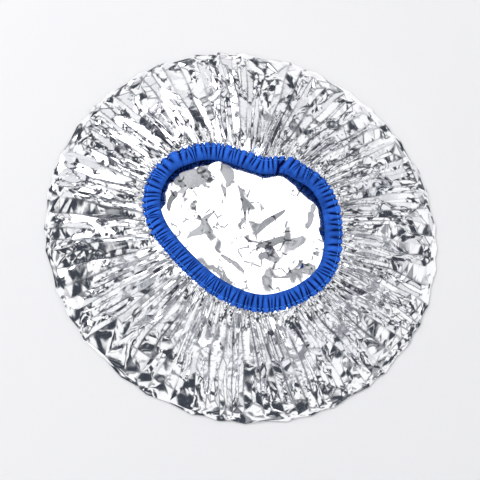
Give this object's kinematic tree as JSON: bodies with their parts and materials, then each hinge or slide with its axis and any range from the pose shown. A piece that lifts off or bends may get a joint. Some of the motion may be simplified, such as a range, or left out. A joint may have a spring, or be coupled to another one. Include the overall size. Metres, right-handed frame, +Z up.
{
  "type": "hair treatment cap",
  "caption": "Round metallised-film hair cap, gathered into a blue elastic binding round its open mouth, lying on its crown.",
  "frame": {"origin": "the middle of the crown's flat underside, on the surface that the cap lies on", "axes": "+Z up out of the mouth, +X to the right and +Y away from the viewer as the picture shows the cap"},
  "size_m": [0.2849, 0.2761, 0.0311],
  "materials": {
    "metallised_film": "mirror-bright metallised film, crumpled",
    "binding_tape": "woven royal-blue tape, gathered",
    "elastic": "matt knitted elastic",
    "sewing_thread": "spun polyester thread"
  },
  "bodies": {
    "film": {"foil_crown": "metallised_film", "foil_side": "metallised_film"},
    "mouth": {"binding_tape": "binding_tape", "elastic_band": "elastic", "seam_needle_thread": "sewing_thread", "seam_bobbin_thread": "sewing_thread", "elastic_tack_thread": "sewing_thread"}
  },
  "joints": [
    {"name": "mouth_lift", "type": "slide", "parent": "film", "child": "mouth", "axis": [0, 0, 1], "range_m": [-0.012, 0.03], "deforming": ["foil_side"]}
  ]
}
